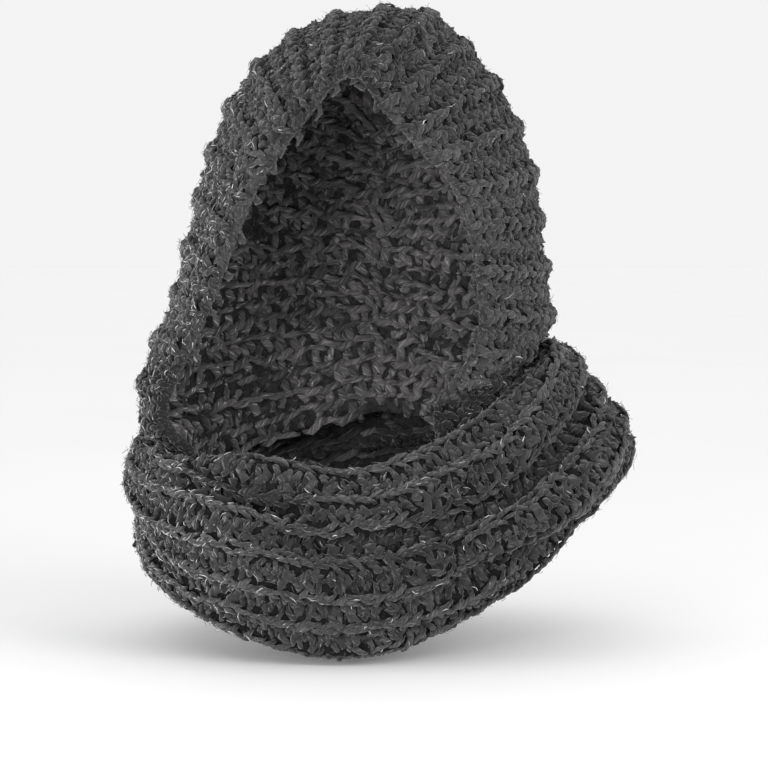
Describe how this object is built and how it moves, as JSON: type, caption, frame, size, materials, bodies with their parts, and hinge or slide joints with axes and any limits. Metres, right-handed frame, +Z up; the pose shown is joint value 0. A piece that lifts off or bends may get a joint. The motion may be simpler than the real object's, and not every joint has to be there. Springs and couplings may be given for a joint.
{
  "type": "snood hood",
  "caption": "Chunky ribbed knit snood hood: a soft hood open at the face, tucked into a deep rolled cowl that drapes round the neck and shoulders.",
  "frame": {"origin": "inside of the crown, where the hood rests on the top of a head", "axes": "+Z up, the face opening looks to -Y, +X is to the right of someone who looks at the face"},
  "size_m": [0.3278, 0.2822, 0.4044],
  "materials": {
    "wool": "charcoal grey chunky wool-blend yarn with pale flecks, matt and slightly fuzzy"
  },
  "bodies": {
    "root": {"hood": "wool", "cowl": "wool"}
  },
  "joints": []
}
